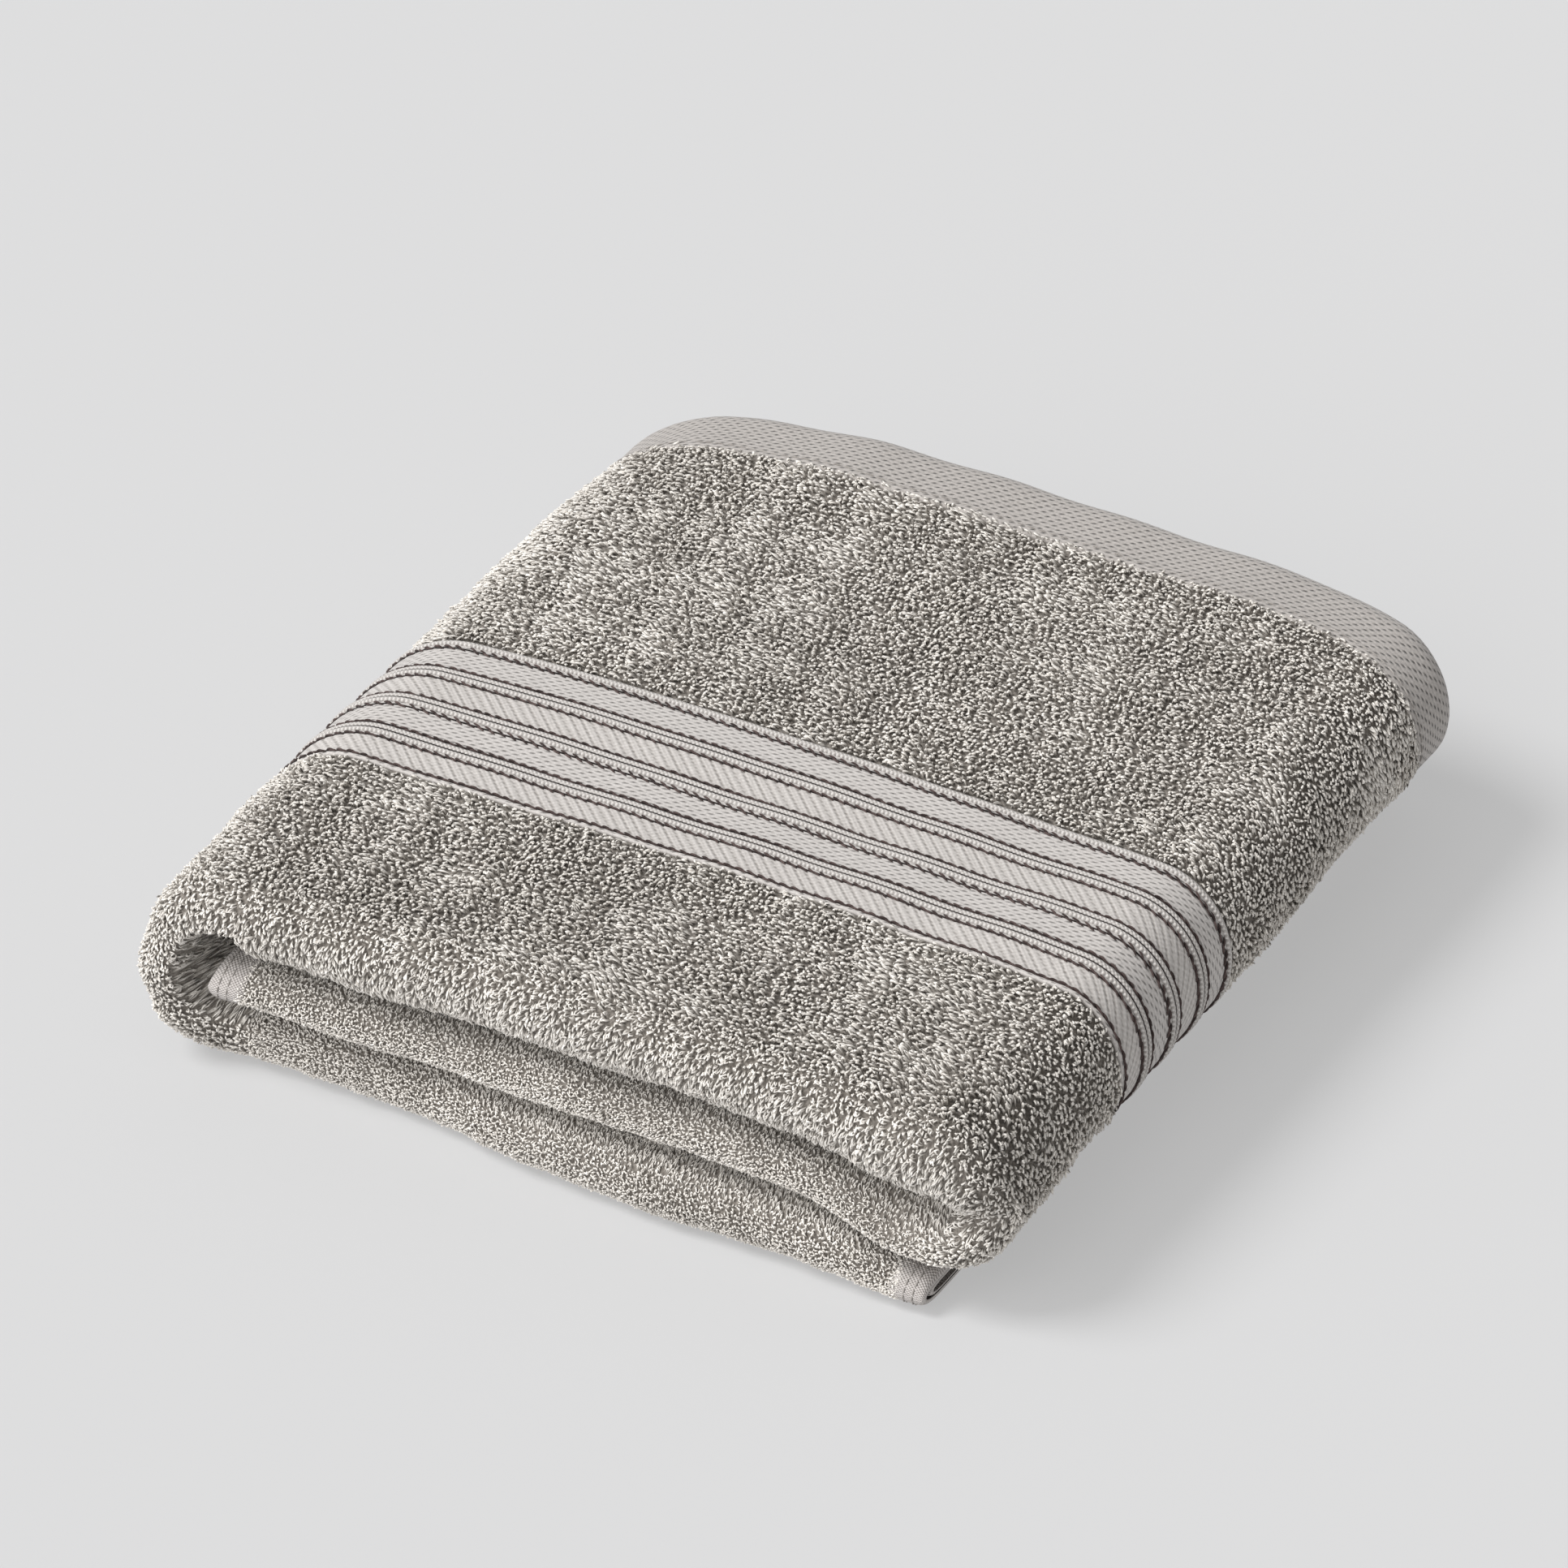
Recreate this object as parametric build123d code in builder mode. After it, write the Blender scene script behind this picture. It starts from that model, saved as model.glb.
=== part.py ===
"""A folded terry bath towel: one 700 x 1400 mm cotton cloth, folded in half and in thirds along
its length, then in thirds across its width. +X crosses the thirds, +Y runs from the near fold
to the far hem, +Z is up, and the origin is under the middle of the packet."""

import os

from build123d import *

# Driving dimensions, in millimetres and degrees
PACKET_WIDTH = 250.0
PACKET_LENGTH = 265.0
PACKET_HEIGHT = 60.0
PANELS = 3
BOTTOM_FLAP_SETBACK = 20.0  # the bottom flap's free edge, in from the right side
INNER_FLAP_SETBACK = 24.0  # the inner flap's free edge, in from the left side
BODY_GAP = 0.3  # clear space between panels that lie on each other
BEND_ARC = 75.0  # the part of the left wrap that flexes, on each side of its middle
BEND_GAP_ANGLE = 1.0

PILE_PROUD = 1.0  # how far the terry loops stand above the flat-woven parts
FLAT_WEAVE = 1.0  # thickness of the dobby border and of the end hem
BORDER_START = 69.0  # from the near fold to the border
BORDER_WIDTH = 58.0
CORD_GROUP_PITCH = 15.0
FIRST_CORD_GROUP = 12.0  # from the border's near edge
CORD_GROUPS = 3
CORD_WIDTH = 1.5
CORD_RISE = 0.5
CORD_SPACING = 2.0
EDGE_CORD = 56.7  # from the border's near edge
STITCH_WIDTH = 0.8
STITCH_RISE = 0.3
STITCH_BEFORE_GROUP = 3.2
STITCH_AFTER_GROUP = 2.7
EDGE_STITCH = 54.5
HEM_WIDTH = 25.0
HEM_OVERLAP = 4.0  # how much of the second end hem shows below the first
SEAM_INSET = 2.0
SEAM_WIDTH = 0.8

SIDE_HEM_WIDTH = 10.0
SIDE_HEM_THICKNESS = 13.0
SIDE_SEAM_INSETS = (3.0, 5.5)  # two rows of stitches along each side hem

# Derived dimensions
panel = PACKET_HEIGHT / PANELS
panel_solid = panel - BODY_GAP
half_width = PACKET_WIDTH / 2
half_length = PACKET_LENGTH / 2
wrap_radius = PACKET_HEIGHT / 2
left_centre = Vector(-half_width + wrap_radius, 0, wrap_radius)
right_centre = Vector(half_width - panel, 0, 2 * panel)
bottom_free_edge = half_width - BOTTOM_FLAP_SETBACK
inner_free_edge = -half_width + INNER_FLAP_SETBACK
border_near = -half_length + BORDER_START
border_middle = border_near + BORDER_WIDTH / 2
hem_start = half_length - HEM_WIDTH
recess = PILE_PROUD + FLAT_WEAVE
skin = panel / 2  # height of the panel's outer face above its middle
weave_floor = skin - recess
weave_top = skin - PILE_PROUD


def outline(inset):
    """Size of the panel's rounded section, drawn in by inset all round."""
    return PACKET_LENGTH - 2 * inset, panel_solid - 2 * inset


def end_strip(outer_inset, inner_inset, low, high, start):
    """The part of the rounded section's rim from start to the far end, between two heights."""
    with BuildSketch() as strip:
        with Locations((0, BODY_GAP / 2)):
            SlotOverall(*outline(outer_inset))
            SlotOverall(*outline(inner_inset), mode=Mode.SUBTRACT)
        with Locations(((start + half_length) / 2, (low + high) / 2)):
            Rectangle(half_length - start, high - low, mode=Mode.INTERSECT)
    return strip.sketch


def ribs(centres, width, rise):
    """Raised ribs that run across the border, standing on its flat weave."""
    with BuildSketch() as rows:
        with Locations(*[(border_near + c, weave_top + rise / 2) for c in centres]):
            Rectangle(width, rise)
    return rows.sketch


groups = [FIRST_CORD_GROUP + CORD_GROUP_PITCH * k for k in range(CORD_GROUPS)]
cord_rows = [g + side * CORD_SPACING / 2 for g in groups for side in (-1, 1)] + [EDGE_CORD]
stitch_rows = [STITCH_WIDTH / 2, EDGE_STITCH]
stitch_rows += [g - STITCH_BEFORE_GROUP for g in groups] + [g + STITCH_AFTER_GROUP for g in groups]

# Profiles along the towel: local x is +Y, local y is the way out of the packet
with BuildSketch() as terry_profile:
    with Locations((0, BODY_GAP / 2)):
        SlotOverall(*outline(0))
    with Locations((border_middle, skin)):
        Rectangle(BORDER_WIDTH, 2 * recess, mode=Mode.SUBTRACT)
    add(end_strip(-PILE_PROUD, recess, 0, skin + PILE_PROUD, hem_start), mode=Mode.SUBTRACT)
    add(end_strip(-PILE_PROUD, recess, -HEM_OVERLAP, 0, 0), mode=Mode.SUBTRACT)

with BuildSketch() as band_profile:
    with Locations((border_middle, weave_floor + FLAT_WEAVE / 2)):
        Rectangle(BORDER_WIDTH, FLAT_WEAVE)

with BuildSketch() as seam_profile:
    with Locations((hem_start + SEAM_INSET, weave_top + STITCH_RISE / 2)):
        Rectangle(SEAM_WIDTH, STITCH_RISE)

profiles = {
    "terry": terry_profile.sketch,
    "border_band": band_profile.sketch,
    "border_cords": ribs(cord_rows, CORD_WIDTH, CORD_RISE),
    "border_stitching": ribs(stitch_rows, STITCH_WIDTH, STITCH_RISE),
    "end_hem": end_strip(PILE_PROUD, recess, 0, skin, hem_start),
    "second_end_hem": end_strip(PILE_PROUD, recess, -HEM_OVERLAP, 0, 0),
    "end_hem_seam": seam_profile.sketch,
}


def write(piece, label):
    piece.part.label = label
    export_step(piece.part, f"parts/{label}.step")


def straight_section(label, profile, start, side, length):
    """Extrudes a profile along X from start. side is +1 where the outer face is up."""
    with BuildPart() as piece:
        with BuildSketch(Plane(origin=start, x_dir=(0, 1, 0), z_dir=(side, 0, 0))):
            add(profile)
        extrude(amount=length)
    write(piece, label)


def wrapped_section(label, profile, centre, radius, angle, arc):
    """Turns a profile about a line along Y through centre, from angle towards +X by arc."""
    out = Vector(1, 0, 0).rotate(Axis.Y, -angle)
    axis = Axis(centre, (0, 1, 0))
    with BuildPart() as piece:
        with BuildSketch(Plane(centre + out * (radius - skin), (0, 1, 0), Vector(0, 1, 0).cross(out))):
            add(profile)
        revolve(axis=axis, revolution_arc=arc)
    write(piece, label)


def side_hem(label, free_edge, inward, middle):
    """The stack of flat-woven side hems at a flap's free edge."""
    with BuildPart() as piece:
        with BuildSketch(Plane((free_edge, 0, middle), (0, 1, 0), (inward, 0, 0))):
            SlotOverall(PACKET_LENGTH, SIDE_HEM_THICKNESS)
        extrude(amount=SIDE_HEM_WIDTH)
    write(piece, label)


def side_hem_seam(label, free_edge, inward, middle):
    """Two raised rows of lockstitch that run round the stack of side hems."""
    size = (PACKET_LENGTH, SIDE_HEM_THICKNESS)
    with BuildPart() as piece:
        for inset in SIDE_SEAM_INSETS:
            foot = (free_edge + inward * inset, 0, middle)
            with BuildSketch(Plane(foot, (0, 1, 0), (inward, 0, 0))):
                SlotOverall(size[0] + STITCH_RISE, size[1] + STITCH_RISE)
                SlotOverall(*size, mode=Mode.SUBTRACT)
            extrude(amount=SEAM_WIDTH)
    write(piece, label)


os.makedirs("parts", exist_ok=True)

bottom_start = (bottom_free_edge - SIDE_HEM_WIDTH, 0, panel / 2)
bottom_length = bottom_start[0] - left_centre.X
inner_start = (right_centre.X, 0, 1.5 * panel)
inner_length = right_centre.X - inner_free_edge - SIDE_HEM_WIDTH
top_start = (left_centre.X, 0, 2.5 * panel)
top_length = right_centre.X - left_centre.X
side_arc = 180 - 2 * BEND_ARC - 2 * BEND_GAP_ANGLE
side_angle = 270 - BEND_ARC - BEND_GAP_ANGLE

for kind, shape in profiles.items():
    straight_section(f"bottom_flap_{kind}", shape, bottom_start, -1, bottom_length)
    wrapped_section(f"lower_bend_{kind}", shape, left_centre, wrap_radius, 270, BEND_ARC)
    wrapped_section(f"left_side_{kind}", shape, left_centre, wrap_radius, side_angle, side_arc)
    wrapped_section(f"upper_bend_{kind}", shape, left_centre, wrap_radius, 90 + BEND_ARC, BEND_ARC)
    straight_section(f"top_panel_{kind}", shape, top_start, 1, top_length)
    wrapped_section(f"right_fold_{kind}", shape, right_centre, panel, 90, 180)
    straight_section(f"inner_flap_{kind}", shape, inner_start, -1, inner_length)

flap_edges = {
    "bottom_flap": (bottom_free_edge, -1, SIDE_HEM_THICKNESS / 2 + STITCH_RISE),
    "inner_flap": (inner_free_edge, 1, 1.5 * panel),
}
for flap, place in flap_edges.items():
    side_hem(f"{flap}_side_hem", *place)
    side_hem_seam(f"{flap}_side_hem_seam", *place)
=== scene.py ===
"""Looks of a folded terry bath towel: one long cotton cloth with its looped pile, striped border,
hems and stitches. Lengths are in millimetres until a mesh is made. u runs across the cloth's width
from the bottom flap's free edge, s runs along its length from the outer hem, h is the height above
the cloth's face, and n is the height above the middle of a folded panel."""

import math

import bpy
import numpy as np
from mathutils import Matrix, Vector


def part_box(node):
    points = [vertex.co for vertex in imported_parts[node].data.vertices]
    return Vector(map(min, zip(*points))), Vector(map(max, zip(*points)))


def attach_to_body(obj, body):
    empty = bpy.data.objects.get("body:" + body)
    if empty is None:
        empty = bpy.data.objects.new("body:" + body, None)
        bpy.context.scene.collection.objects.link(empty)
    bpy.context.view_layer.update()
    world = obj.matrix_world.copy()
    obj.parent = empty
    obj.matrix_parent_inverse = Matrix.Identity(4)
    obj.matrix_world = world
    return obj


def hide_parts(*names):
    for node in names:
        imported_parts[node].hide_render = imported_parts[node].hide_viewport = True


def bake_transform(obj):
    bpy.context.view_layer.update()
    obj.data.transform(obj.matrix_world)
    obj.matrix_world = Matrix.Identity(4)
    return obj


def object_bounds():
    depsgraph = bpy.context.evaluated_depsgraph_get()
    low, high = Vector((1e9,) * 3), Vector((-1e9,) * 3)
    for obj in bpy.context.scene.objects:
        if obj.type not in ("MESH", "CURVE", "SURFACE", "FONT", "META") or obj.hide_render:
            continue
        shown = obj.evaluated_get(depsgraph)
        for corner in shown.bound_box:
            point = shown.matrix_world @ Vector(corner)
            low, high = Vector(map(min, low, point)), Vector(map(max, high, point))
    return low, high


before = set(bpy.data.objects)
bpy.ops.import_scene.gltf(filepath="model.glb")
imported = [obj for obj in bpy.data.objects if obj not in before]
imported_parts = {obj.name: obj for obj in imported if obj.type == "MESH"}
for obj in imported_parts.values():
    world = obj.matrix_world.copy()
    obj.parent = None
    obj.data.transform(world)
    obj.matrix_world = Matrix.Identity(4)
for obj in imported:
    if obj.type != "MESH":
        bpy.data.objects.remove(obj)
cad_low, cad_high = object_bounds()
rng = np.random.default_rng(7)
MM = 0.001

# The packet, read from the CAD nodes
WIDTH, LENGTH, HEIGHT = ((cad_high - cad_low) / MM)[:]
top_low, top_high = (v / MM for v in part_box("top_panel_terry"))
border_low, border_high = (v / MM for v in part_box("top_panel_border_band"))
hem_low, _ = (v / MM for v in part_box("top_panel_end_hem"))
bottom_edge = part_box("bottom_flap_side_hem")[1].x / MM
inner_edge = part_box("inner_flap_side_hem")[0].x / MM
PANEL = HEIGHT / 3
SKIN = PANEL / 2
PLY = PANEL / 6
LEFT_X, RIGHT_X = top_low.x, top_high.x
FAR = LENGTH / 2
BORDER_NEAR, BORDER_FAR = border_low.y, border_high.y
HEM_NEAR = hem_low.y

# The cloth
CLOTH_LENGTH = 1400.0
SIDE_HEM = 10.0
PILE_OVER_HEM = 2.5  # how far the loops stand over the side hem's inner edge
SIDE_HEM_FACE = 1.0  # half the thickness of the turned side hem
SIDE_SEAMS = (3.0, 5.5)
PINCH = 16.0  # the plies draw together over this width beside a side hem
WEAVE_HEIGHT = 1.1  # the flat weave's face above the cloth's middle
HEM_FOOT = -0.6  # the end hem's inner face
HEM_DROP = 4.0  # how far the second hem hangs below the first
HEM_TURNED = 38.0  # how much of the second hem is modelled
SECOND_HEM_FACE = 0.7  # half its thickness
FAR_TURN_INSET = 2.5  # the inner plies turn back this far short of the packet's far end
FAR_TURN_REACH = 5.2
FAR_TURN_LENGTH = 16.0

# The looped pile
PILE_RISE = 1.7
PILE_LEAN = 1.9
LOOP_WIDTH = 0.5
WEFT_PITCH = 1.35
WARP_PITCH = 1.2
YARN = 0.32  # the loops' radius
UNEVEN = 0.24  # how far the loops stand from their rows, as a share of their size
LOOP_PLACES = 5  # points along each loop
PIECE_LOOPS = 5400
FOLD_PILE = 0.85  # sizes of the loops against those on the panels
RIDGE_PILE = 0.65
HIDDEN_PILE = 1.6
FAR_FOLD_PILE = 1.4
FOLD_LIP = 8.0  # how far the finer loops of the near folds reach in past the turn

# The border's stripes, from its near edge
SOLID_LINES = (0.5, 14.7, 29.5, 44.6)
ROPE_LINES = (9.2, 39.2)
DOUBLE_LINES = (23.8, 54.4)
CORD_GROUPS = (12.0, 27.0, 42.0)
CORD_SPACING = 2.0
EDGE_CORD = 56.7
SINGLE_ROWS = 0.24  # how far the two rows of dark floats lie from a line's middle
DOUBLE_ROWS = 0.5
# Ribs: the radius, and how far the middle stands over the weave
CORD = (0.8, 0.1)
RIBBON = (0.3, -0.05)
CREASE = (0.24, 0.3)
TWILL_BANDS = ((0.0, 9.0), (30.0, 39.0))
BORDER_FOOT = -0.3  # the border's inner face

# Mesh steps across the width, on the panels and round the folds
CLOTH_GRID = (5.0, 2.0)
BORDER_GRID = (2.5, 1.2)

# The stitches: how far apart they start, and their length and width
DASH_GAP = 3.2
DASH = (2.5, 0.7)
HEM_SEAM_INSET = 2.0
HEM_SEAM_GAP = 3.2
HEM_STITCH = (2.6, 0.5)
SIDE_SEAM_GAP = 3.0
SIDE_STITCH = (2.5, 0.45)


# ---------------------------------------------------------------- the folded shape


def arc(centre, reach, first, last):
    """Points on an arc in the (y, n) plane, from angle first to last, in degrees."""
    a = np.radians(np.linspace(first, last, 2 + int(abs(last - first))))
    return np.stack([centre[0] + reach[0] * np.cos(a), centre[1] + reach[1] * np.sin(a)], 1)


def fold_line(half_fold):
    """The cloth's line through one folded third, from the outer hem to the inner one."""
    level = [SKIN - PLY * (k + 0.5) for k in range(6)]
    end = FAR - SKIN
    turn = FAR - SKIN - FAR_TURN_INSET
    middle = (level[2] + level[5]) / 2
    return np.concatenate(
        [
            arc((end, 0), (level[0], level[0]), -4, 90),
            arc((-end, 0), (level[0], level[0]), 90, 270),
            arc((turn, middle), (FAR_TURN_REACH, 1.5 * PLY), -90, 90),
            arc((half_fold, 0), (PLY / 2, PLY / 2), 90, 270),
            arc((turn, middle), (PLY / 2, PLY / 2), 90, -90),
            arc((-end, 0), (level[1], level[1]), 270, 90),
            arc((end, 0), (level[1], level[1]), 90, 0),
            [(end + level[1], -HEM_DROP)],
        ]
    )


def lengths(line):
    return np.concatenate([[0], np.cumsum(np.linalg.norm(np.diff(line, axis=0), axis=1))])


spare = lengths(fold_line(0.0))[-1] - CLOTH_LENGTH
line = fold_line(spare / 2)
line_s = lengths(line)
fine_s = np.arange(0, line_s[-1], 0.25)
fine = np.stack([np.interp(fine_s, line_s, line[:, k]) for k in (0, 1)], 1)
SMOOTHING = np.ones(9) / 9
ahead = np.pad(np.gradient(fine, axis=0), ((4, 4), (0, 0)), mode="edge")
ahead = np.stack([np.convolve(column, SMOOTHING, "valid") for column in ahead.T], 1)
ahead /= np.linalg.norm(ahead, axis=1)[:, None]
face = np.stack([ahead[:, 1], -ahead[:, 0]], 1)


def s_at(y):
    """Where along the cloth the outermost ply crosses y."""
    flat = (fine[:, 1] > SKIN - PLY) & (fine_s < CLOTH_LENGTH / 3)
    return float(np.interp(-y, -fine[flat, 0], fine_s[flat]))


S_HEM = s_at(HEM_NEAR)
S_BORDER_FAR, S_BORDER_NEAR = s_at(BORDER_FAR), s_at(BORDER_NEAR)
S_TURN = s_at(-FAR + SKIN)
TURN_LENGTH = math.pi * (SKIN - PLY / 2)
S_INNER = S_TURN + TURN_LENGTH
S_FAR_TURN = S_INNER + 2 * FAR - 2 * SKIN - FAR_TURN_INSET
S_FAR_TURN_END = S_FAR_TURN + FAR_TURN_LENGTH
S_END = float(line_s[-1])


def section(s, h):
    """(y, n) of a place along the cloth, h above its face."""
    y, n, fy, fn = (np.interp(s, fine_s, c) for c in (*fine.T, *face.T))
    return y + h * fy, n + h * fn


LEFT_MID, RIGHT_MID = HEIGHT / 2 - SKIN, PANEL - SKIN
U_LEFT = bottom_edge - LEFT_X
U_TOP = U_LEFT + math.pi * LEFT_MID
U_RIGHT = U_TOP + RIGHT_X - LEFT_X
U_INNER = U_RIGHT + math.pi * RIGHT_MID
U_END = U_INNER + RIGHT_X - inner_edge
U_HALF = (U_LEFT + U_TOP) / 2


def across(u, n):
    """(x, z) of a place across the cloth's width, n outward from the panel's middle."""
    left = 1.5 * math.pi - np.clip((u - U_LEFT) / LEFT_MID, 0, math.pi)
    right = 0.5 * math.pi - np.clip((u - U_RIGHT) / RIGHT_MID, 0, math.pi)
    where = [u < U_LEFT, u < U_TOP, u < U_RIGHT, u < U_INNER]
    x = np.select(
        where,
        [
            bottom_edge - u,
            LEFT_X + (LEFT_MID + n) * np.cos(left),
            LEFT_X + u - U_TOP,
            RIGHT_X + (RIGHT_MID + n) * np.cos(right),
        ],
        RIGHT_X - (u - U_INNER),
    )
    z = np.select(
        where,
        [
            SKIN - n,
            HEIGHT / 2 + (LEFT_MID + n) * np.sin(left),
            HEIGHT - SKIN + n,
            HEIGHT - PANEL + (RIGHT_MID + n) * np.sin(right),
        ],
        HEIGHT / 2 - n,
    )
    return x, z


def ease(t):
    t = np.clip(t, 0, 1)
    return t * t * (3 - 2 * t)


WAVES = rng.normal(size=(10, 4))
PITS = np.stack([rng.uniform(U_LEFT, U_INNER, 34), rng.uniform(S_HEM + 6, S_TURN, 34)], 1)


def ripple(a, b, size, which):
    """Smooth seeded unevenness between about -1 and 1, with bumps about size apart."""
    total = 0
    for k in range(5):
        p, q, r, t = WAVES[(which + k) % 10]
        way = a * (p + 0.6 * k - 1) + b * (q - 0.5 * k + 1)
        total = total + np.sin(way * 2 / size + 3 * r + 5 * t)
    return total / 3


def pinch(u, y, n):
    """The plies draw together at a free edge, where the flat side hems are thinner than the pile,
    and the inner flap is pressed thin between its neighbours at its near fold."""
    near_bottom = 1 - ease((u - SIDE_HEM) / PINCH)
    near_inner = 1 - ease((U_END - u - SIDE_HEM) / PINCH)
    edge = np.clip(np.minimum(u, U_END - u) / 3, 0, 1)
    rounded = 0.5 * (1 - np.sqrt(edge * (2 - edge)))
    pressed = 0.25 * (1 - near_inner) * ease((u - U_INNER - 4) / 24) * ease((-y - FAR + 32) / 26)
    thinned = 1 - 0.37 * (near_bottom + near_inner) - pressed
    return n * thinned * (1 - rounded) + 3.2 * near_bottom


def settle(u, x, y, z):
    """How the soft packet sags and bulges as it lies."""
    share = z / HEIGHT
    near = ease((-y - FAR + 60) / 50)
    # The near folds lie lower than the panels behind them, and the top is crowned and lumpy
    low = np.interp(z, [0, PANEL, 2 * PANEL, HEIGHT, 1.2 * HEIGHT], [0, -2.2, -4.2, 0, 0])
    wave = 1.3 * ripple(x, z, 38, 1) * share * (1 - share) * 4
    crown = 2.8 * (1 - (x / (WIDTH / 2)) ** 2)
    lump = 0.9 * ripple(x, y, 60, 0) + 0.5 * ripple(x, y, 27, 4)
    # The far corners drop and are drawn back, and the right fold hangs over the bottom flap
    far_left = 6 * ease((-x - 45) / 70) * ease((y - 50) / 70)
    far_right = 3 * ease((x - 60) / 60) * ease((y - 60) / 60)
    right_back = 11 * np.clip((x - 70) / 55, 0, 1.1) ** 2.2
    left_back = 9 * np.clip((-x - 75) / 50, 0, 1.1) ** 2.2
    hang = np.interp(z, [0, 13, PANEL, HEIGHT], [0, 0, 5, 0]) * ease((x - 85) / 30) * ease((70 - y) / 60)
    # The bottom flap and the inner flap lie a little further in than the top panel
    drawn_in = 8 * ease((30 - x) / 110) * ease((x + 120) / 25) * ease((26 - z) / 16) * near
    inner = ease((u - U_INNER - 6) / 24) * ease((-y - FAR + 40) / 34)
    tucked = 5 * inner * np.clip((z - PANEL - 2) / 15, 0, 1)
    # The right fold's middle is sunk
    at_right = np.exp(-(((x - 95) / 18) ** 2)) * near
    pit = 6 * np.exp(-(((x - 95) / 9) ** 2) - ((z - 36) / 5) ** 2) * near
    sunk = 7 * at_right * np.interp(z, [0, 14, 34, HEIGHT], [0, 0.2, 1, 0])
    # Uneven near folds with a valley between each two
    lumpy = 0.9 * ripple(x, z, 22, 6) * ease((-y - FAR + 22) / 16)
    valleys = np.exp(-(((z - 39.5) / 3.5) ** 2)) + np.exp(-(((z - 20.5) / 3.5) ** 2))
    deep = 4.5 * (0.7 + 0.5 * ripple(x, 0 * x, 40, 8)) * valleys * ease((-y - FAR + 16) / 10)
    y = y + drawn_in + tucked + pit + lumpy + deep - (right_back + left_back) * ease((y + 30) / 150)
    z = z + near * (low + wave) + (crown + lump - far_left - far_right) * share - hang - sunk
    # The wrap's near end is hollow inside its curve
    wrap_reach = np.hypot(x - LEFT_X, z - HEIGHT / 2)
    hollow = 16 * ease((17 - wrap_reach) / 6) * ease((LEFT_X + 6 - x) / 8) * (u < U_TOP + 8) * near
    y = y + hollow
    return x, y, np.maximum(z, YARN)


TIGHTEST = 0.3  # the cloth's face draws together no further than this inside a fold


def stretch(u, s):
    """How much wider the cloth's face is at a place than the panel's middle, round the folds. The
    loops on the wrap's inner face crowd together instead, as it unrolls flat."""
    _, n = section(s, 1.0)
    left = ease((u - U_LEFT + 3) / 6) * ease((U_TOP + 3 - u) / 6)
    right = ease((u - U_RIGHT + 2) / 4) * ease((U_INNER + 2 - u) / 4)
    least = np.where(s > S_INNER + FOLD_LIP, 1, TIGHTEST)
    return np.maximum(1 + n * left / LEFT_MID, least) * np.maximum(1 + n * right / RIGHT_MID, TIGHTEST)


def even_places(first, last, s, gap, start):
    """Width positions gap apart along the row at s, measured on the cloth's face."""
    grid = np.arange(first, last, 0.5)
    run = np.cumsum(stretch(grid, np.full(len(grid), s))) * 0.5
    return np.interp(np.arange(start, run[-1], gap), run, grid)


FINE_U = np.arange(0, U_END + 1, 0.5)
OUTER_RUN = np.cumsum(stretch(FINE_U, np.full(len(FINE_U), S_BORDER_NEAR))) * 0.5


def cloth_map(u, s):
    """The weave's map, in metres: u as measured along the outermost face, and s."""
    return np.stack([np.interp(u.ravel(), FINE_U, OUTER_RUN) * MM, s.ravel() * MM], 1)


def place(u, s, h):
    """Points in millimetres for places on the cloth."""
    u, s, h = np.broadcast_arrays(np.asarray(u, float), s, h)
    y, n = section(s, h)
    x, z = across(u, pinch(u, y, n))
    return np.stack(settle(u, x, y, z), -1)


# ---------------------------------------------------------------- meshes


def mesh_piece(name, points, faces, material, uv, other=None, takes_other=None):
    """A smooth-shaded piece from points in millimetres and equal-sided faces. The faces in
    takes_other have the other material."""
    corners = faces.shape[1]
    mesh = bpy.data.meshes.new(name)
    mesh.vertices.add(len(points))
    mesh.vertices.foreach_set("co", (points * MM).astype(np.float32).ravel())
    mesh.loops.add(faces.size)
    mesh.loops.foreach_set("vertex_index", faces.astype(np.int32).ravel())
    mesh.polygons.add(len(faces))
    mesh.polygons.foreach_set("loop_start", np.arange(0, faces.size, corners, dtype=np.int32))
    mesh.polygons.foreach_set("use_smooth", np.ones(len(faces), bool))
    layer = mesh.uv_layers.new(name="cloth")
    layer.data.foreach_set("uv", uv[faces.ravel()].astype(np.float32).ravel())
    mesh.update(calc_edges=True)
    mesh.materials.append(material)
    if other is not None:
        mesh.materials.append(other)
        mesh.polygons.foreach_set("material_index", takes_other.astype(np.int32))
    piece = bpy.data.objects.new(name, mesh)
    bpy.context.scene.collection.objects.link(piece)
    return piece


def quads(rows, columns, wrap=False):
    """Faces of a rows x columns grid of points; wrap joins the last column to the first."""
    c = np.arange(columns if wrap else columns - 1)
    d = (c + 1) % columns
    r = np.arange(rows - 1)[:, None] * columns
    return np.stack([r + c, r + d, r + columns + d, r + columns + c], -1).reshape(-1, 4)


def steps(first, last, size):
    return np.linspace(first, last, max(2, int(round((last - first) / size)) + 1))


def joined(*runs):
    return np.unique(np.round(np.concatenate(runs), 4))


def sheet_piece(name, us, ss, material):
    """The cloth's own face over a grid of places."""
    u, s = np.meshgrid(us, ss, indexing="ij")
    points = place(u, s, 0).reshape(-1, 3)
    return mesh_piece(name, points, quads(len(us), len(ss)), material, cloth_map(u, s))


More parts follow.
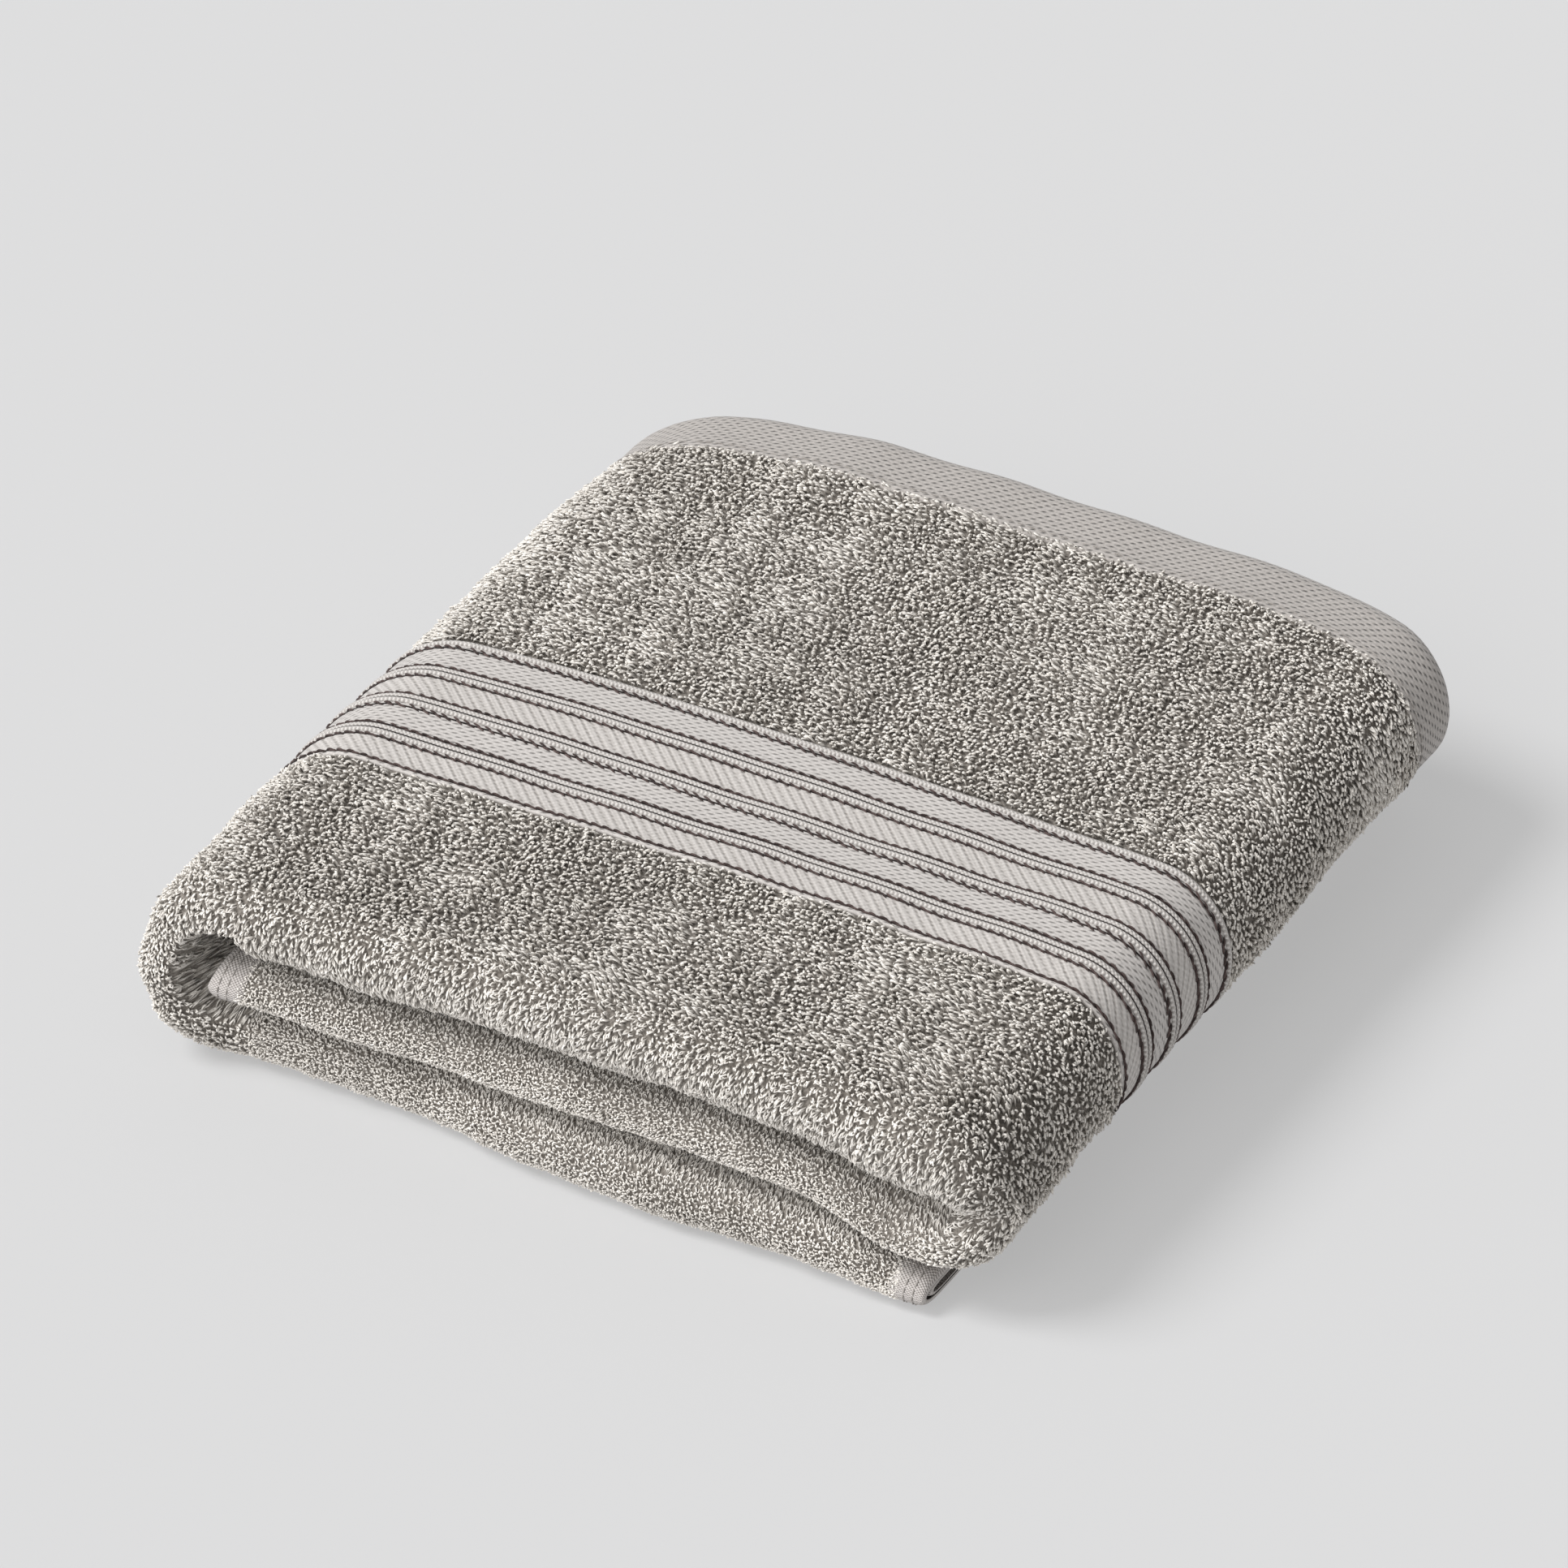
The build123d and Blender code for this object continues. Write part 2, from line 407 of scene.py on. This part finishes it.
def strip_piece(name, us, ss, low, high, material, other=None, bands=()):
    """A closed flat-woven strip with a rounded edge at both ends of ss. other covers the bands,
    each two places in s."""
    bead = np.linspace(0, math.pi, 5)[1:-1]
    thick = (high - low) / 2
    middle = (high + low) / 2
    s = np.concatenate([ss, ss[-1] + thick * np.sin(bead), ss[::-1], ss[0] - thick * np.sin(bead)])
    over, under = np.full(len(ss), high), np.full(len(ss), low)
    h = np.concatenate([over, middle + thick * np.cos(bead), under, middle - thick * np.cos(bead)])
    u, s = np.meshgrid(us, s, indexing="ij")
    points = place(u, s, h[None, :]).reshape(-1, 3)
    uv = cloth_map(u, s)
    faces = quads(len(us), len(h), True)
    middle_s = uv[faces, 1].mean(1) / MM
    inside = np.zeros(len(faces), bool)
    for a, b in bands:
        inside |= (middle_s > a) & (middle_s < b)
    return mesh_piece(name, points, faces, material, uv, other, inside)


def tubes(points, radius, sides):
    """Tube vertices and faces round many lines at once. points is lines x places x 3."""
    lines, places, _ = points.shape
    along = np.gradient(points, axis=1)
    along /= np.linalg.norm(along, axis=2, keepdims=True) + 1e-9
    whole = points[:, -1] - points[:, 0]
    bow = points[:, places // 2] - (points[:, 0] + points[:, -1]) / 2
    flat = np.cross(whole, bow)
    flat /= np.linalg.norm(flat, axis=1, keepdims=True) + 1e-9
    side = np.cross(flat[:, None], along)
    side /= np.linalg.norm(side, axis=2, keepdims=True) + 1e-9
    other = np.cross(along, side)
    turn = np.linspace(0, 2 * math.pi, sides, endpoint=False)
    radius = np.broadcast_to(radius, (lines, places))
    rings = points[:, :, None] + radius[:, :, None, None] * (
        np.cos(turn)[:, None] * side[:, :, None] + np.sin(turn)[:, None] * other[:, :, None]
    )
    one = quads(places, sides, True)
    faces = one[None] + (np.arange(lines) * places * sides)[:, None, None]
    return rings.reshape(-1, 3), faces.reshape(-1, 4)


def loop_piece(name, u, s, size, curl_and_painted_light):
    """Terry loops: each is one arch of yarn standing at (u, s). They lie over towards the near fold,
    with some wandering, as the last value is 0, and stand as open rings with a lighter tone, painted
    light, as it is 1."""
    count = len(u)
    # Which way each loop lies over, and how its arch is turned
    heading = math.pi / 2 + 0.3 * ripple(u, s, 34, 2) + 0.6 * ripple(u, s, 12, 5)
    heading = heading + rng.normal(0, 0.45 + 0.5 * curl_and_painted_light, count)
    twist = heading + math.pi / 2 + rng.normal(0, 0.5, count)
    # The pile stands in soft tufts, with a few pits
    tuft = 1 + 0.12 * ripple(u, s, 17, 7) + 0.19 * ripple(u, s, 7, 3)
    for pit_u, pit_s in PITS:
        tuft = tuft - 0.4 * np.exp(-((u - pit_u) ** 2 + (s - pit_s) ** 2) / 12)
    lean = PILE_LEAN * size * (1 - 0.5 * curl_and_painted_light) * rng.normal(1, 0.25, count)
    rise = PILE_RISE * min(size, 1.1) * tuft * rng.normal(1, 0.14, count)
    wide = LOOP_WIDTH * size * (1 + 0.5 * curl_and_painted_light) * rng.normal(1, 0.18, count)
    wring = rng.normal(0, 0.8, count)
    t = np.linspace(0, math.pi, LOOP_PLACES)
    spread = -np.cos(t) * (0.55 + 0.45 * np.sin(t))
    up = np.sin(t) ** 0.7
    over = np.sin(t) ** 1.6
    turn = twist[:, None] + wring[:, None] * (t - math.pi / 2)
    turn = turn + rng.normal(0, 0.5, (count, LOOP_PLACES)) * up
    lu = wide[:, None] * spread * np.cos(turn) + lean[:, None] * over * np.cos(heading)[:, None]
    ls = wide[:, None] * spread * np.sin(turn) + lean[:, None] * over * np.sin(heading)[:, None]
    lu = lu / stretch(u, s)[:, None]
    points = place(u[:, None] + lu, s[:, None] + ls, rise[:, None] * up - 0.2)
    thick = YARN * size * (0.8 + 0.3 * np.sin(t)) * rng.normal(1, 0.1, count)[:, None]
    verts, faces = tubes(points, thick, 3)
    # Curled loops, those of the near folds, get a lighter tone: painted light
    shade = np.clip(0.5 + 0.2 * curl_and_painted_light + 0.25 * rng.normal(size=count) + 0.15 * ripple(u, s, 23, 6), 0, 1)
    # The second value, the height up the loop, makes the yarn darker near its foot: painted shade
    uv = np.stack([np.repeat(shade, LOOP_PLACES * 3), np.tile(np.repeat(np.sin(t), 3), count)], 1)
    return mesh_piece(name, verts, faces, pile_look, uv)


def scatter(u_first, u_last, s_first, s_last, size):
    """Places of loops in weft rows, a little uneven, evenly spaced on the cloth's face."""
    found_u, found_s = [], []
    for k, row in enumerate(np.arange(s_first + WEFT_PITCH * size / 2, s_last, WEFT_PITCH * size)):
        start = WARP_PITCH * size * (0.3 + 0.4 * (k % 2))
        found_u.append(even_places(u_first, u_last, row, WARP_PITCH * size, start))
        found_s.append(np.full(len(found_u[-1]), row))
    u, s = np.concatenate(found_u), np.concatenate(found_s)
    u = u + rng.normal(0, UNEVEN * size, len(u)) / stretch(u, s)
    s = s + rng.normal(0, UNEVEN * size, len(s))
    inside = (s > s_first) & (s < s_last) & (u > u_first) & (u < u_last)
    return u[inside], s[inside]


def pile_pieces(name, u_range, s_range, size, curl_and_painted_light=0.0):
    """The loops of an area, in as many pieces as they need."""
    u, s = scatter(*u_range, *s_range, size)
    parts = np.array_split(np.argsort(u), math.ceil(len(u) / PIECE_LOOPS))
    return [loop_piece(f"{name}_{k + 1}", u[p], s[p], size, curl_and_painted_light) for k, p in enumerate(parts)]


def dash_piece(name, u, s, size, angle, height, material):
    """Short stitches lying on the weave: thread capsules with tapered ends. size is their length
    and width."""
    length, width = size
    t = np.linspace(-1, 1, 5)
    du = length / 2 * t * (np.cos(angle) / stretch(u, s))[:, None]
    ds = length / 2 * t * np.sin(angle)[:, None]
    points = place(u[:, None] + du, s[:, None] + ds, height + 0.16 * (1 - t**2))
    thick = width / 2 * np.sqrt(np.clip(1.06 - t**2, 0, 1))
    verts, faces = tubes(points, thick, 4)
    shade = np.repeat(rng.random(len(u)), len(t) * 4)
    return mesh_piece(name, verts, faces, material, np.stack([shade, np.full(len(verts), 0.5)], 1))


def cord_piece(name, us, rows, size, material):
    """Ribs that run across the cloth, each a round cord partly sunk in the weave."""
    radius, seat = size
    height = WEAVE_HEIGHT + seat
    parts, found, maps = [], [], []
    turn = np.linspace(0, 2 * math.pi, 8, endpoint=False)
    for k, row in enumerate(rows):
        wobble = 0.1 * ripple(us, us * 0 + row, 23, 3)[:, None]
        s = row + wobble + radius * np.cos(turn)
        h = height + radius * 0.9 * np.sin(turn)
        u = np.broadcast_to(us[:, None], s.shape)
        parts.append(place(u, s, h).reshape(-1, 3))
        maps.append(cloth_map(u, s))
        found.append(quads(len(us), len(turn), True) + k * s.size)
    return mesh_piece(name, np.concatenate(parts), np.concatenate(found), material, np.concatenate(maps))


# ---------------------------------------------------------------- materials


def linear(tone):
    return tuple((c / 255) ** 2.2 for c in tone) + (1.0,)


def new_material(name, rough, sheen):
    m = bpy.data.materials.new(name)
    m.use_nodes = True
    shader = m.node_tree.nodes["Principled BSDF"]
    shader.inputs["Roughness"].default_value = rough
    shader.inputs["Specular IOR Level"].default_value = 0.2
    shader.inputs["Sheen Weight"].default_value = sheen
    shader.inputs["Sheen Roughness"].default_value = 0.5
    return m, m.node_tree, shader


def maths(tree, operation, a, b=0.0):
    node = tree.nodes.new("ShaderNodeMath")
    node.operation = operation
    for socket, value in zip(node.inputs, (a, b)):
        if hasattr(value, "links"):
            tree.links.new(value, socket)
        else:
            socket.default_value = value
    return node.outputs[0]


def wave(tree, value, period):
    """Swings between -1 and 1 as the value grows by each period."""
    return maths(tree, "SINE", maths(tree, "MULTIPLY", value, 2 * math.pi / period))


def cloth_uv(tree):
    """The two values of the piece's own map."""
    node = tree.nodes.new("ShaderNodeUVMap")
    node.uv_map = "cloth"
    parts = tree.nodes.new("ShaderNodeSeparateXYZ")
    tree.links.new(node.outputs[0], parts.inputs[0])
    return parts.outputs[0], parts.outputs[1]


def fibre_noise(tree, scale):
    """Fine unevenness that stays with the piece."""
    where = tree.nodes.new("ShaderNodeTexCoord")
    noise = tree.nodes.new("ShaderNodeTexNoise")
    noise.inputs["Scale"].default_value = scale
    noise.inputs["Detail"].default_value = 2.0
    tree.links.new(where.outputs["Object"], noise.inputs["Vector"])
    return noise.outputs[0]


def colour_by(tree, shader, tone, dark, light):
    """The base colour runs from dark to light as the tone goes from 0 to 1."""
    ramp = tree.nodes.new("ShaderNodeValToRGB")
    for stop, colour in zip(ramp.color_ramp.elements, (dark, light)):
        stop.color = linear(colour)
    tree.links.new(tone, ramp.inputs[0])
    tree.links.new(ramp.outputs[0], shader.inputs["Base Color"])


def yarn_material(name, dark, light):
    """Yarn that differs a little from loop to loop and is darker near its foot: painted shade where the
    loops shadow each other.
    """
    m, tree, shader = new_material(name, 0.85, 0.1)
    shade, height = cloth_uv(tree)
    tone = maths(tree, "ADD", maths(tree, "MULTIPLY", shade, 0.4), maths(tree, "MULTIPLY", height, 0.85))
    tone = maths(tree, "ADD", tone, maths(tree, "MULTIPLY", fibre_noise(tree, 1500.0), 0.45))
    colour_by(tree, shader, maths(tree, "SUBTRACT", tone, 0.42), dark, light)
    return m


# Sizes of the weaves' patterns, in metres
GROUND_CHECK = 0.0009
TWILL_SLANT = 1.05  # across the cloth for each step along it
TWILL_PITCH = 0.00315
TWILL_DOTS = 0.0014


def plain_weave(size):
    """Checks of warp and weft floats."""

    def height(tree, u, s):
        return maths(tree, "MULTIPLY", wave(tree, u, 2 * size), wave(tree, s, 2 * size))

    return height


def twill_weave(tree, u, s):
    """Fine checks crossed by dotted diagonal grooves."""
    checks = plain_weave(GROUND_CHECK)(tree, u, s)
    slant = maths(tree, "SUBTRACT", u, maths(tree, "MULTIPLY", s, TWILL_SLANT))
    groove = maths(tree, "POWER", maths(tree, "ABSOLUTE", wave(tree, slant, 2 * TWILL_PITCH)), 6)
    dots = maths(tree, "ADD", maths(tree, "MULTIPLY", wave(tree, s, TWILL_DOTS), 0.3), 0.7)
    groove = maths(tree, "MULTIPLY", maths(tree, "MULTIPLY", groove, dots), 0.95)
    flat = maths(tree, "ADD", maths(tree, "MULTIPLY", checks, 0.25), 0.5)
    return maths(tree, "SUBTRACT", flat, groove)


def dashed_weave(dash, row_pitch, drift):
    """Rows of short dark floats. dash is their pitch along a row, and drift is how much each row
    is set off from the last, as a share of the rows' pitch."""

    def height(tree, u, s):
        slant = maths(tree, "ADD", u, maths(tree, "MULTIPLY", s, drift))
        float_end = maths(tree, "MAXIMUM", wave(tree, slant, dash), 0.0)
        row = maths(tree, "POWER", maths(tree, "ABSOLUTE", wave(tree, s, 2 * row_pitch)), 3)
        depth = maths(tree, "ADD", maths(tree, "MULTIPLY", float_end, 1.3), 0.2)
        return maths(tree, "SUBTRACT", 0.65, maths(tree, "MULTIPLY", depth, row))

    return height


def weave_material(name, dark, light, weave):
    """Flat cotton weave whose height also sets its tone: low places are darker, painted shade in the
    checks and grooves, while the low rows of the dashed weaves are real dark floats.
    """
    m, tree, shader = new_material(name, 0.8, 0.2)
    height = weave(tree, *cloth_uv(tree))
    tone = maths(tree, "ADD", maths(tree, "MULTIPLY", height, 0.5), 0.2)
    tone = maths(tree, "ADD", tone, maths(tree, "MULTIPLY", fibre_noise(tree, 1400.0), 0.6))
    colour_by(tree, shader, tone, dark, light)
    bump = tree.nodes.new("ShaderNodeBump")
    bump.inputs["Strength"].default_value = 0.6
    bump.inputs["Distance"].default_value = 0.0003
    tree.links.new(height, bump.inputs["Height"])
    tree.links.new(bump.outputs[0], shader.inputs["Normal"])
    return m


# The ground cloth under the loops is darker than their yarn: painted shade for the gaps where the loops
# shadow it
shaded_ground_look = weave_material("terry_ground_painted_shade", (112, 106, 100), (142, 136, 129), plain_weave(GROUND_CHECK))
# The yarn's dark colour shows mostly at the loops' feet, as painted shade
pile_look = yarn_material("terry_yarn", (150, 144, 136), (255, 250, 243))
hem_dashes = dashed_weave(0.00315, 0.0014, 0.98)
dobby_dashes = dashed_weave(0.0034, 0.0012, 1.42)
hem_look = weave_material("hem_weave", (36, 33, 30), (194, 188, 183), hem_dashes)
selvage_look = weave_material("selvage_weave", (136, 130, 126), (226, 220, 216), plain_weave(0.0005))
dobby_look = weave_material("dobby_weave", (96, 91, 87), (214, 209, 205), dobby_dashes)
twill_look = weave_material("twill_weave", (122, 116, 110), (216, 211, 207), twill_weave)
cord_look = weave_material("border_cord", (166, 160, 155), (218, 214, 210), plain_weave(0.0006))
dark_look = yarn_material("dark_thread", (20, 15, 14), (106, 90, 87))
thread_look = yarn_material("sewing_thread", (120, 114, 109), (200, 195, 190))


# ---------------------------------------------------------------- the pieces

# Each group of pieces lies between two width positions and rides one body or stays where it is made
groups = {
    "bottom": (0.0, U_LEFT),
    "wrap_lower": (U_LEFT, U_HALF),
    "wrap_upper": (U_HALF, U_TOP),
    "top": (U_TOP, U_END),
}
cad_parts = {
    "bottom": ["bottom_flap"],
    "wrap_lower": ["lower_bend"],
    "wrap_upper": ["left_side", "upper_bend"],
    "top": ["top_panel", "right_fold", "inner_flap"],
}


def attach(piece, group):
    """The piece moves with its group's body, or, on the wrap, stays where it is made."""
    if group == "bottom":
        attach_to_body(piece, "bottom_third")
    elif group == "top":
        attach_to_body(piece, "top_thirds")
    elif group == "wrap_lower":
        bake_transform(piece)
    else:
        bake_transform(piece)


def u_steps(first, last, coarse, fine_size):
    """Width positions, closer together round the folds and beside the side hems."""
    pinched = SIDE_HEM + PINCH
    bends = [0.0, pinched, U_LEFT - 4, U_TOP + 4, U_RIGHT - 4, U_INNER + 4, U_END - pinched, U_END]
    sizes = [fine_size, coarse, fine_size, coarse, fine_size, coarse, fine_size]
    runs = []
    for a, b, size in zip(bends[:-1], bends[1:], sizes):
        a, b = max(a, first), min(b, last)
        if b > a:
            runs.append(steps(a, b, size))
    return joined(*runs)


cloth_s = joined(
    steps(0, S_HEM, 3),
    steps(S_HEM, S_TURN, 4),
    steps(S_TURN - 4, S_INNER + 4, 1.3),
    steps(S_INNER, S_FAR_TURN, 8),
    steps(S_FAR_TURN - 2, S_FAR_TURN_END + 2, 1.5),
    steps(S_FAR_TURN_END, S_END, 4),
)


def border_dashes(group, first, last):
    """The dark floats of every line of the border, in two rows, further apart on a double line."""
    u, s, tilt = [], [], []
    for c in SOLID_LINES + ROPE_LINES + DOUBLE_LINES:
        apart = DOUBLE_ROWS if c in DOUBLE_LINES else SINGLE_ROWS
        for side in (-apart, apart):
            start = 0.6 + (side > 0) * DASH_GAP / 2
            row = even_places(first + 0.6, last - 0.5, S_BORDER_NEAR, DASH_GAP, start)
            u.append(row + rng.normal(0, 0.1, len(row)))
            s.append(S_BORDER_NEAR - c + side + rng.normal(0, 0.05, len(row)))
            tilt.append(rng.normal(0.1 if c in SOLID_LINES else 0.35, 0.1, len(row)))
    u, s, tilt = np.concatenate(u), np.concatenate(s), np.concatenate(tilt)
    return dash_piece(f"{group}_border_stitches", u, s, DASH, tilt, WEAVE_HEIGHT + 0.15, dark_look)


def border_pieces(group, first, last):
    us = u_steps(first, last, *BORDER_GRID)
    bands = [(S_BORDER_NEAR - b, S_BORDER_NEAR - a) for a, b in TWILL_BANDS]
    ss = steps(S_BORDER_FAR, S_BORDER_NEAR, 1.0)
    faces = (BORDER_FOOT, WEAVE_HEIGHT)
    band = strip_piece(f"{group}_border_band", us, ss, *faces, dobby_look, twill_look, bands)
    rows = [S_BORDER_NEAR - c - side * CORD_SPACING / 2 for c in CORD_GROUPS for side in (-1, 1)]
    rows.append(S_BORDER_NEAR - EDGE_CORD)
    cords = cord_piece(f"{group}_border_cords", us, rows, CORD, cord_look)
    rows = [S_BORDER_NEAR - c for c in SOLID_LINES + ROPE_LINES + DOUBLE_LINES]
    ribbons = cord_piece(f"{group}_border_lines", us, rows, RIBBON, dark_look)
    # Thin dark ribs in the groove between the two cords of each group: painted shade
    rows = [S_BORDER_NEAR - c for c in CORD_GROUPS]
    crease_shade = cord_piece(f"{group}_cord_crease_shade", us, rows, CREASE, dark_look)
    lines = [ribbons, crease_shade, border_dashes(group, first, last)]
    return {"border_band": [band], "border_cords": [cords], "border_stitching": lines}


def end_hem_pieces(group, first, last):
    us = u_steps(first, last, *BORDER_GRID)
    ss = steps(0, S_HEM, 1.5)
    hem = strip_piece(f"{group}_end_hem", us, ss, HEM_FOOT, WEAVE_HEIGHT, hem_look)
    us = u_steps(first, last, *CLOTH_GRID)
    turned = steps(S_END - HEM_TURNED, S_END, 2)
    faces = (-SECOND_HEM_FACE, SECOND_HEM_FACE)
    second = strip_piece(f"{group}_second_end_hem", us, turned, *faces, hem_look)
    u = even_places(first + 1, last - 1, S_HEM, HEM_SEAM_GAP, 0.0)
    s, angle = np.full(len(u), S_HEM - HEM_SEAM_INSET), np.zeros(len(u))
    seam = dash_piece(f"{group}_end_hem_seam", u, s, HEM_STITCH, angle, WEAVE_HEIGHT, thread_look)
    return {"end_hem": [hem], "second_end_hem": [second], "end_hem_seam": [seam]}


def terry_piles(group, first, last):
    """The loops of a group: fine ones where they show, coarser ones where they lie inside."""
    a = first + SIDE_HEM - PILE_OVER_HEM if group == "bottom" else first
    b = last - SIDE_HEM + PILE_OVER_HEM if group == "top" else last
    far, near = (S_HEM - 1.0, S_BORDER_FAR - 2.2), (S_BORDER_NEAR + 0.3, S_TURN)
    lip = (S_TURN, S_INNER + FOLD_LIP)
    shown = {"bottom": None, "top": (a, U_INNER)}.get(group, (a, b))
    covered = {"bottom": (a, b), "top": (U_INNER, b)}.get(group)
    pile = []
    if shown:
        pile += pile_pieces(f"{group}_pile_far", shown, far, 1.0)
        pile += pile_pieces(f"{group}_pile_near", shown, near, 1.0)
        pile += pile_pieces(f"{group}_fold_pile", shown, lip, FOLD_PILE, curl_and_painted_light=0.6)
    if covered:
        pile += pile_pieces(f"{group}_covered_pile_far", covered, far, HIDDEN_PILE)
        pile += pile_pieces(f"{group}_covered_pile_near", covered, near, HIDDEN_PILE)
        pile += pile_pieces(f"{group}_covered_fold_pile", covered, lip, RIDGE_PILE, curl_and_painted_light=1.0)
    turned = (S_FAR_TURN, S_FAR_TURN_END)
    pile += pile_pieces(f"{group}_far_fold_pile", (a, b), turned, FAR_FOLD_PILE)
    if group != "top":
        inside = (S_INNER + FOLD_LIP, S_FAR_TURN)
        pile += pile_pieces(f"{group}_inside_pile", (a, b), inside, HIDDEN_PILE)
    return pile


def side_hem_pieces(name, edge, inward):
    """The turned hem along one side of the cloth, and its two rows of lockstitch."""
    # The hem's profile: how far in from the edge, and half its thickness there
    over = edge + inward * np.array([0.0, 0.4, 1.2, 2.2, 3.5, 5.5, 8.0, SIDE_HEM])
    rise = SIDE_HEM_FACE * np.array([0.8, 0.95, 1.0, 1.0, 1.0, 1.0, 0.95, 0.6])
    ring_u, ring_h = np.concatenate([over, over[::-1]]), np.concatenate([rise, -rise[::-1]])
    u, s = np.meshgrid(ring_u, cloth_s)
    points = place(u, s, ring_h[None, :]).reshape(-1, 3)
    faces = quads(len(cloth_s), len(ring_u), True)
    hem = mesh_piece(f"{name}_side_hem_weave", points, faces, selvage_look, cloth_map(u, s))
    at = np.arange(2.0, S_FAR_TURN_END, SIDE_SEAM_GAP)
    rows = np.repeat([edge + inward * inset for inset in SIDE_SEAMS], len(at))
    angle = np.full(len(rows), math.pi / 2)
    at = np.tile(at, len(SIDE_SEAMS))
    label = f"{name}_side_hem_stitches"
    return hem, dash_piece(label, rows, at, SIDE_STITCH, angle, SIDE_HEM_FACE, thread_look)


def dress(group, first, last):
    """Makes every piece of a group, attaches each to what it moves with, and hides the CAD parts it
    replaces.
    """
    cloth = sheet_piece(f"{group}_cloth", u_steps(first, last, *CLOTH_GRID), cloth_s, shaded_ground_look)
    made = {"terry": [cloth]} | border_pieces(group, first, last) | end_hem_pieces(group, first, last)
    going = []
    for kind, kind_pieces in made.items():
        for piece in kind_pieces:
            attach(piece, group)
        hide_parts(*[f"{part}_{kind}" for part in cad_parts[group]])
        going += kind_pieces
    for piece in terry_piles(group, first, last):
        attach(piece, group)
        going.append(piece)
    edges = {"bottom": ("bottom_flap", 0.0, 1), "top": ("inner_flap", U_END, -1)}
    if group in edges:
        hem, stitches = side_hem_pieces(*edges[group])
        attach(hem, group)
        attach(stitches, group)
        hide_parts(f"{edges[group][0]}_side_hem")
        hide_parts(f"{edges[group][0]}_side_hem_seam")
        going += [hem, stitches]


for group, (first, last) in groups.items():
    dress(group, first, last)


# ---------------------------------------------------------------- the stage

floor_mesh = bpy.data.meshes.new("floor")
floor_mesh.from_pydata([(-6, -6, 0), (6, -6, 0), (6, 6, 0), (-6, 6, 0)], [], [(0, 1, 2, 3)])
floor = bpy.data.objects.new("floor", floor_mesh)
bpy.context.scene.collection.objects.link(floor)
floor_look, _, floor_shader = new_material("floor", 0.9, 0.0)
floor_shader.inputs["Base Color"].default_value = (0.3, 0.3, 0.303, 1.0)
floor_shader.inputs["Emission Color"].default_value = (1.0, 1.0, 1.0, 1.0)
floor_shader.inputs["Emission Strength"].default_value = 0.37  # the floor glows: painted light that keeps the shadows on it pale
floor_mesh.materials.append(floor_look)


def soft_sun(name, towards, power, softness):
    """A wide, even light; towards is the way from the towel to it."""
    lamp = bpy.data.lights.new(name, "SUN")
    lamp.energy = power
    lamp.angle = math.radians(softness)
    holder = bpy.data.objects.new(name, lamp)
    bpy.context.scene.collection.objects.link(holder)
    holder.matrix_world = Vector(towards).to_track_quat("Z", "Y").to_matrix().to_4x4()


soft_sun("key", (-1.3, -0.9, 2.0), 2.4, 26)
soft_sun("fill", (-0.4, -1.5, 0.7), 1.5, 70)

world = bpy.data.worlds.new("studio")
world.use_nodes = True
world.node_tree.nodes["Background"].inputs[0].default_value = (1, 1, 1, 1)
world.node_tree.nodes["Background"].inputs[1].default_value = 0.38
bpy.context.scene.world = world
bpy.context.scene.view_settings.view_transform = "Standard"

AZIMUTH, ELEVATION = math.radians(29.24), math.radians(34.73)
DISTANCE = 3.395
camera = bpy.data.objects.new("camera", bpy.data.cameras.new("camera"))
bpy.context.scene.collection.objects.link(camera)
camera.data.sensor_width = 36
camera.data.lens = 305.6
level = math.cos(ELEVATION)
back = Vector((math.sin(AZIMUTH) * level, -math.cos(AZIMUTH) * level, math.sin(ELEVATION)))
aim = Vector((-0.00715, -0.0012, 0.0438))
turned = back.to_track_quat("Z", "Y").to_matrix().to_4x4()
camera.matrix_world = Matrix.Translation(aim + DISTANCE * back) @ turned
bpy.context.scene.camera = camera
